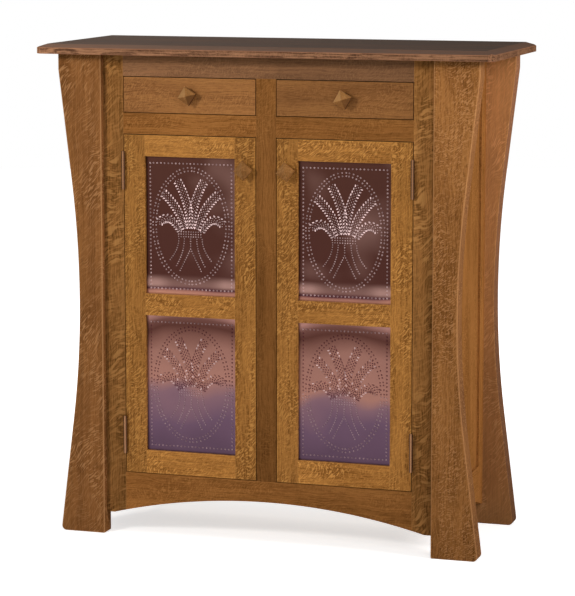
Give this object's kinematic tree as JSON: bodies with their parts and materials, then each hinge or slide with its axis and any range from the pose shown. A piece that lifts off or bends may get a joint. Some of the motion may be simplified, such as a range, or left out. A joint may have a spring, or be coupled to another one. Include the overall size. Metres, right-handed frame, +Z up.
{
  "type": "pie safe",
  "caption": "Free-standing oak cupboard on flared legs: inset drawers over inset doors with punched copper panels, an overhanging top and arched aprons.",
  "frame": {"origin": "on the floor, under the middle of the top board", "axes": "+Z up, the doors and drawers face -Y, +X is the cupboard's right as seen from the front"},
  "size_m": [1.145, 0.476, 1.219],
  "materials": {
    "top_oak": "satin",
    "leg_oak": "satin",
    "frame_oak": "satin",
    "door_oak": "satin",
    "knob_oak": "satin",
    "inner_wood": "satin",
    "copper": "antique",
    "hinge_steel": "dark"
  },
  "bodies": {
    "carcase": {"top_board": "top_oak", "front_left_leg": "leg_oak", "front_right_leg": "leg_oak", "back_left_leg": "leg_oak", "back_right_leg": "leg_oak", "left_stile": "frame_oak", "right_stile": "frame_oak", "centre_stile": "frame_oak", "top_rail": "frame_oak", "left_mid_rail": "frame_oak", "right_mid_rail": "frame_oak", "arched_apron": "frame_oak", "door_stop": "inner_wood", "left_side_panel": "frame_oak", "left_side_front_stile": "frame_oak", "left_side_back_stile": "frame_oak", "left_side_top_rail": "frame_oak", "left_side_apron": "frame_oak", "right_side_panel": "frame_oak", "right_side_front_stile": "frame_oak", "right_side_back_stile": "frame_oak", "right_side_top_rail": "frame_oak", "right_side_apron": "frame_oak", "back_boards": "inner_wood", "cupboard_floor": "inner_wood", "shelf": "inner_wood", "drawer_deck": "inner_wood", "cleats": "inner_wood", "drawer_runners": "inner_wood", "frame_hinge_leaves": "hinge_steel", "hinge_pins": "hinge_steel"},
    "left_door": {"left_door_hinge_stile": "door_oak", "left_door_lock_stile": "door_oak", "left_door_top_rail": "door_oak", "left_door_mid_rail": "door_oak", "left_door_bottom_rail": "door_oak", "left_door_upper_copper": "copper", "left_door_lower_copper": "copper", "left_door_beads": "inner_wood", "left_door_knob": "knob_oak", "left_door_hinge_leaves": "hinge_steel"},
    "right_door": {"right_door_hinge_stile": "door_oak", "right_door_lock_stile": "door_oak", "right_door_top_rail": "door_oak", "right_door_mid_rail": "door_oak", "right_door_bottom_rail": "door_oak", "right_door_upper_copper": "copper", "right_door_lower_copper": "copper", "right_door_beads": "inner_wood", "right_door_knob": "knob_oak", "right_door_hinge_leaves": "hinge_steel"},
    "left_drawer": {"left_drawer_front": "door_oak", "left_drawer_box": "inner_wood", "left_drawer_bottom": "inner_wood", "left_drawer_knob": "knob_oak"},
    "right_drawer": {"right_drawer_front": "door_oak", "right_drawer_box": "inner_wood", "right_drawer_bottom": "inner_wood", "right_drawer_knob": "knob_oak"}
  },
  "joints": [
    {"name": "left_door_hinge", "type": "hinge", "parent": "carcase", "child": "left_door", "pos_m": [-0.366, -0.182, 0.57775], "axis": [0, 0, -1], "range_deg": [0, 165]},
    {"name": "right_door_hinge", "type": "hinge", "parent": "carcase", "child": "right_door", "pos_m": [0.366, -0.182, 0.57775], "axis": [0, 0, 1], "range_deg": [0, 165]},
    {"name": "left_drawer_slide", "type": "slide", "parent": "carcase", "child": "left_drawer", "axis": [0, -1, 0], "range_m": [0, 0.28]},
    {"name": "right_drawer_slide", "type": "slide", "parent": "carcase", "child": "right_drawer", "axis": [0, -1, 0], "range_m": [0, 0.28]}
  ]
}
